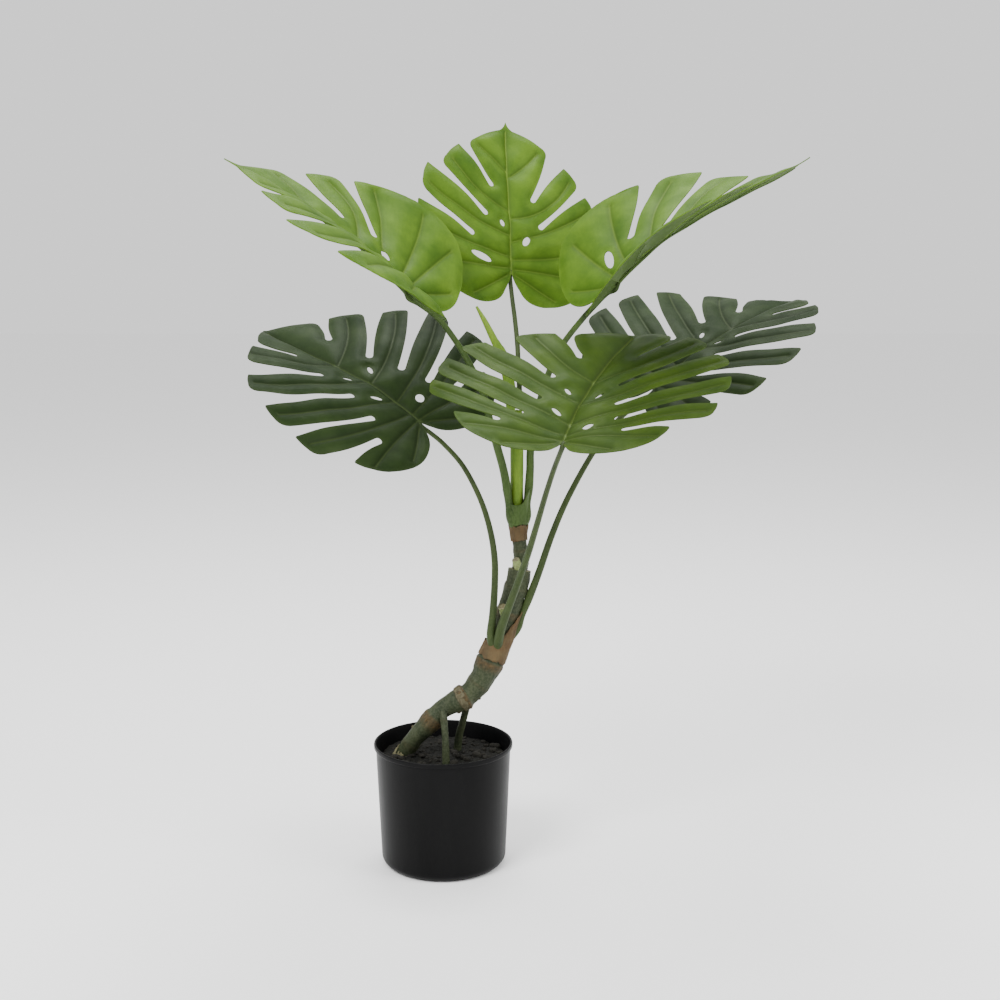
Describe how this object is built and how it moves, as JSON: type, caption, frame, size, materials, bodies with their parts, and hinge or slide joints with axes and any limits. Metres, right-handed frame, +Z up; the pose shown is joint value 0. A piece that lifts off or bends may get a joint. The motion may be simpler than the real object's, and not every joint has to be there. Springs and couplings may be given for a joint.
{
  "type": "potted monstera plant",
  "caption": "Young monstera with deeply split heart-shaped leaves on long stalks, growing from a leaning knotted stem in a plain round black pot of soil.",
  "frame": {"origin": "middle of the pot's flat underside, on the floor", "axes": "+Z up; -Y is the front, the side the plant is shown from; +X is to the right seen from the front"},
  "size_m": [0.6033, 0.4518, 0.7895],
  "materials": {
    "pot": "satin black moulded plastic, fine vertical sheen",
    "soil": "dark, damp, lumpy potting mix of bark and peat",
    "bark": "matt grey-green stem with brown leaf scars",
    "husk": "dry, fibrous, orange-brown leaf sheath",
    "stem": "satin dull green leaf stalk",
    "young": "satin fresh yellow-green growth",
    "light_leaf": "satin bright green leaf, paler underneath",
    "mid_leaf": "satin mid-green leaf, paler underneath",
    "dark_leaf": "satin dark green leaf with a grey sheen"
  },
  "bodies": {
    "root": {"pot": "pot", "soil": "soil", "trunk": "bark", "upper_stem": "bark", "root_front": "bark", "root_back": "bark", "husk_ring": "husk", "husk_lower": "husk", "husk_upper": "husk", "leaf_cup": "stem", "crown": "young", "new_leaf": "young", "stub_lower": "young", "stub_upper": "young", "stalk_top": "stem", "stalk_upper_left": "stem", "stalk_upper_right": "stem", "stalk_left": "stem", "stalk_front": "stem", "stalk_right": "stem", "blade_top": "light_leaf", "blade_upper_left": "light_leaf", "blade_upper_right": "light_leaf", "blade_left": "dark_leaf", "blade_front": "mid_leaf", "blade_right": "dark_leaf"}
  },
  "joints": []
}
